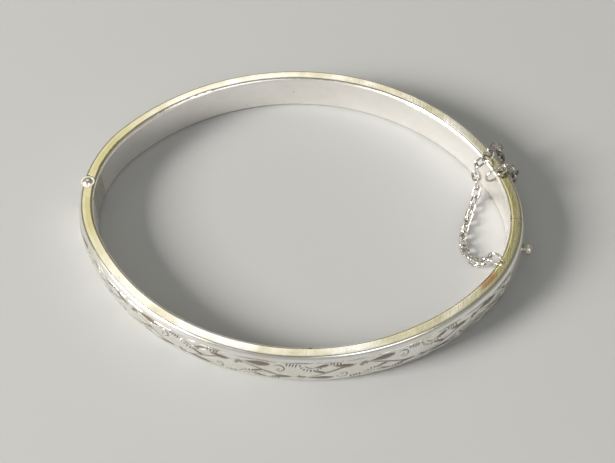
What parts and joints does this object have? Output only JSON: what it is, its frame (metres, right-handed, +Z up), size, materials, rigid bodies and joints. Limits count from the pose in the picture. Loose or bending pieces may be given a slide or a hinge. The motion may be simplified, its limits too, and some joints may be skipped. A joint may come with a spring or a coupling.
{
  "type": "hinged bangle bracelet",
  "caption": "Oval hollow hinged bangle with a domed outer wall, half of it scroll engraved, a snap tongue clasp with a thumb knob, and a fine safety chain.",
  "frame": {"origin": "centre of the oval wrist opening, on the plane that the bangle lies on", "axes": "+Z up out of the face it lies on, through the wrist opening; +X from the hinge to the clasp along the oval's long axis; +Y to the plain back half"},
  "size_m": [0.0659, 0.0528, 0.0075],
  "materials": {
    "silver_engraved": "bright engraved silver",
    "silver_polished": "polished silver, lightly worn",
    "silver_inside": "satin silver, worn by wear",
    "silver_fittings": "polished silver",
    "silver_clasp": "hard rolled silver strip",
    "silver_chain": "silver wire"
  },
  "bodies": {
    "front_half": {"front_outer_shell": "silver_engraved", "front_inner_band": "silver_inside", "front_mouth_cap": "silver_fittings", "front_hinge_block": "silver_fittings", "clasp_guide_lower": "silver_clasp", "clasp_guide_upper": "silver_clasp", "hinge_knuckle_top": "silver_fittings", "hinge_knuckle_bottom": "silver_fittings", "hinge_pin": "silver_fittings"},
    "back_half": {"back_outer_shell": "silver_polished", "back_inner_band": "silver_inside", "back_clasp_cap": "silver_fittings", "back_hinge_block": "silver_fittings", "hinge_knuckle_middle": "silver_fittings", "tongue_fixed_leaf": "silver_clasp"},
    "snap_leaf": {"tongue_spring_leaf": "silver_clasp", "thumb_knob": "silver_fittings"},
    "front_ring": {"front_jump_ring": "silver_chain"},
    "inner_chain_1": {"inner_chain_link_01": "silver_chain", "inner_chain_link_02": "silver_chain"},
    "inner_chain_2": {"inner_chain_link_03": "silver_chain", "inner_chain_link_04": "silver_chain", "inner_chain_link_05": "silver_chain"},
    "inner_chain_3": {"inner_chain_link_06": "silver_chain", "inner_chain_link_07": "silver_chain", "inner_chain_link_08": "silver_chain"},
    "inner_chain_4": {"inner_chain_link_09": "silver_chain", "inner_chain_link_10": "silver_chain", "inner_chain_link_11": "silver_chain"},
    "inner_chain_5": {"inner_chain_link_12": "silver_chain", "inner_chain_link_13": "silver_chain", "inner_chain_link_14": "silver_chain"},
    "inner_chain_6": {"inner_chain_link_15": "silver_chain", "inner_chain_link_16": "silver_chain", "inner_chain_link_17": "silver_chain"},
    "inner_chain_7": {"inner_chain_link_18": "silver_chain", "inner_chain_link_19": "silver_chain"},
    "back_ring": {"back_jump_ring": "silver_chain"},
    "outer_chain_1": {"outer_chain_link_01": "silver_chain", "outer_chain_link_02": "silver_chain"},
    "outer_chain_2": {"outer_chain_link_03": "silver_chain", "outer_chain_link_04": "silver_chain"},
    "outer_chain_3": {"outer_chain_link_05": "silver_chain", "outer_chain_link_06": "silver_chain", "outer_chain_link_07": "silver_chain"},
    "outer_chain_4": {"outer_chain_link_08": "silver_chain", "outer_chain_link_09": "silver_chain", "outer_chain_link_10": "silver_chain"},
    "outer_chain_5": {"outer_chain_link_11": "silver_chain", "outer_chain_link_12": "silver_chain"},
    "outer_chain_6": {"outer_chain_link_13": "silver_chain", "outer_chain_link_14": "silver_chain", "middle_chain_ring": "silver_chain"}
  },
  "joints": [
    {"name": "bangle_hinge", "type": "hinge", "parent": "front_half", "child": "back_half", "pos_m": [-0.0313, -0.00055, 0.003], "axis": [0, 0, 1], "range_deg": [0, 20]},
    {"name": "snap_press", "type": "hinge", "parent": "back_half", "child": "snap_leaf", "pos_m": [0.03105, -0.0042, 0.003], "axis": [0, 0, 1], "range_deg": [0, 5], "stiffness_Nm_per_rad": 0.05},
    {"name": "front_ring_slide", "type": "hinge", "parent": "front_half", "child": "front_ring", "pos_m": [0.02858, -0.00567, 0.00605], "axis": [-0.342, -0.9397, 0], "range_deg": [-0.5, 18.92]},
    {"name": "inner_chain_swing_1", "type": "hinge", "parent": "front_ring", "child": "inner_chain_1", "pos_m": [0.02779, -0.00538, 0.00574], "axis": [0.8123, 0.4983, -0.3032], "range_deg": [-0.5, 25.02]},
    {"name": "inner_chain_swing_2", "type": "hinge", "parent": "inner_chain_1", "child": "inner_chain_2", "pos_m": [0.02696, -0.00469, 0.00338], "axis": [0.9996, 0.0235, -0.0139], "range_deg": [-0.5, 12.74]},
    {"name": "inner_chain_swing_3", "type": "hinge", "parent": "inner_chain_2", "child": "inner_chain_3", "pos_m": [0.02527, -0.00251, 0.0008], "axis": [-0.5723, -0.6144, 0.5431], "range_deg": [-0.5, 18.17]},
    {"name": "inner_chain_swing_4", "type": "hinge", "parent": "inner_chain_3", "child": "inner_chain_4", "pos_m": [0.02366, 0.00097, 0.00063], "axis": [-0.418, -0.3538, 0.8367], "range_deg": [-0.5, 25.7]},
    {"name": "inner_chain_swing_5", "type": "hinge", "parent": "inner_chain_4", "child": "inner_chain_5", "pos_m": [0.02407, 0.00488, 0.0006], "axis": [-0.615, -0.7232, 0.3144], "range_deg": [-0.5, 28.12]},
    {"name": "inner_chain_swing_6", "type": "hinge", "parent": "inner_chain_5", "child": "inner_chain_6", "pos_m": [0.02479, 0.00865, 0.00114], "axis": [-0.9958, -0.0711, -0.0569], "range_deg": [-0.5, 31.44]},
    {"name": "inner_chain_swing_7", "type": "hinge", "parent": "inner_chain_6", "child": "inner_chain_7", "pos_m": [0.0244, 0.01075, 0.0043], "axis": [0.0775, -0.9191, 0.3862], "range_deg": [-0.5, 17.38]},
    {"name": "back_ring_slide", "type": "hinge", "parent": "back_half", "child": "back_ring", "pos_m": [0.02691, 0.00903, 0.00605], "axis": [0.5446, -0.8387, 0], "range_deg": [-0.5, 213.41]},
    {"name": "outer_chain_swing_1", "type": "hinge", "parent": "back_ring", "child": "outer_chain_1", "pos_m": [0.02761, 0.00949, 0.00636], "axis": [0.4818, -0.0615, -0.8741], "range_deg": [-0.5, 36.52]},
    {"name": "outer_chain_swing_2", "type": "hinge", "parent": "outer_chain_1", "child": "outer_chain_2", "pos_m": [0.02947, 0.01097, 0.00624], "axis": [0.1444, -0.1717, -0.9745], "range_deg": [-0.5, 28.97]},
    {"name": "outer_chain_swing_3", "type": "hinge", "parent": "outer_chain_2", "child": "outer_chain_3", "pos_m": [0.03001, 0.01153, 0.00376], "axis": [-0.3547, 0.7178, -0.5991], "range_deg": [-0.5, 39.43]},
    {"name": "outer_chain_swing_4", "type": "hinge", "parent": "outer_chain_3", "child": "outer_chain_4", "pos_m": [0.02927, 0.01328, 0.00073], "axis": [-0.8088, 0.5169, -0.2806], "range_deg": [-0.5, 37.95]},
    {"name": "outer_chain_swing_5", "type": "hinge", "parent": "outer_chain_4", "child": "outer_chain_5", "pos_m": [0.02778, 0.01491, 0.00351], "axis": [-0.8461, 0.4993, 0.1866], "range_deg": [-0.5, 52.4]},
    {"name": "outer_chain_swing_6", "type": "hinge", "parent": "outer_chain_5", "child": "outer_chain_6", "pos_m": [0.02712, 0.0148, 0.00603], "axis": [-0.9179, 0.3968, -0.0089], "range_deg": [-0.5, 58.23]}
  ],
  "couplings": [
    {"joint": "front_ring_slide", "follows": "bangle_hinge", "ratio": 0.9212},
    {"joint": "inner_chain_swing_1", "follows": "bangle_hinge", "ratio": 1.226},
    {"joint": "inner_chain_swing_2", "follows": "bangle_hinge", "ratio": 0.61199},
    {"joint": "inner_chain_swing_3", "follows": "bangle_hinge", "ratio": 0.88352},
    {"joint": "inner_chain_swing_4", "follows": "bangle_hinge", "ratio": 1.2602},
    {"joint": "inner_chain_swing_5", "follows": "bangle_hinge", "ratio": 1.381},
    {"joint": "inner_chain_swing_6", "follows": "bangle_hinge", "ratio": 1.547},
    {"joint": "inner_chain_swing_7", "follows": "bangle_hinge", "ratio": 0.84417},
    {"joint": "back_ring_slide", "follows": "bangle_hinge", "ratio": 10.645},
    {"joint": "outer_chain_swing_1", "follows": "bangle_hinge", "ratio": 1.8013},
    {"joint": "outer_chain_swing_2", "follows": "bangle_hinge", "ratio": 1.4236},
    {"joint": "outer_chain_swing_3", "follows": "bangle_hinge", "ratio": 1.9467},
    {"joint": "outer_chain_swing_4", "follows": "bangle_hinge", "ratio": 1.8728},
    {"joint": "outer_chain_swing_5", "follows": "bangle_hinge", "ratio": 2.5951},
    {"joint": "outer_chain_swing_6", "follows": "bangle_hinge", "ratio": 2.8867}
  ]
}
